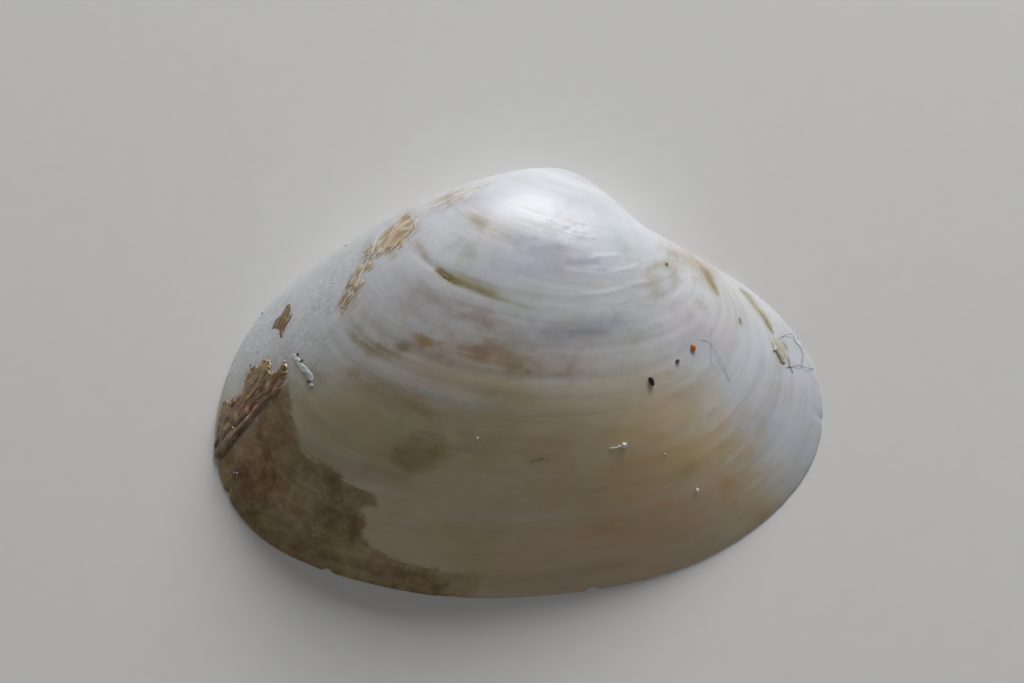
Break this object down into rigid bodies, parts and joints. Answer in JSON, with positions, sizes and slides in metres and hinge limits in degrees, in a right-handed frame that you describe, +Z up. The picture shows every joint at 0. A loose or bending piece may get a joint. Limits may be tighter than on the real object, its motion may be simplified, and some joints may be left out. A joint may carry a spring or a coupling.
{
  "type": "oval trough shell valve",
  "caption": "Worn right valve of a small trough clam, lying hollow side down: a low oval dome with growth rings and patches of brown outer skin.",
  "frame": {"origin": "centre of the valve's bounding box in X and Y, in the plane of the margin it rests on", "axes": "+X along the shell to its front (anterior) end, +Y across it to the beak, +Z up through the dome"},
  "size_m": [0.03, 0.0212, 0.0066],
  "materials": {
    "shell": "satin"
  },
  "bodies": {
    "root": {"right_valve": "shell"}
  },
  "joints": []
}
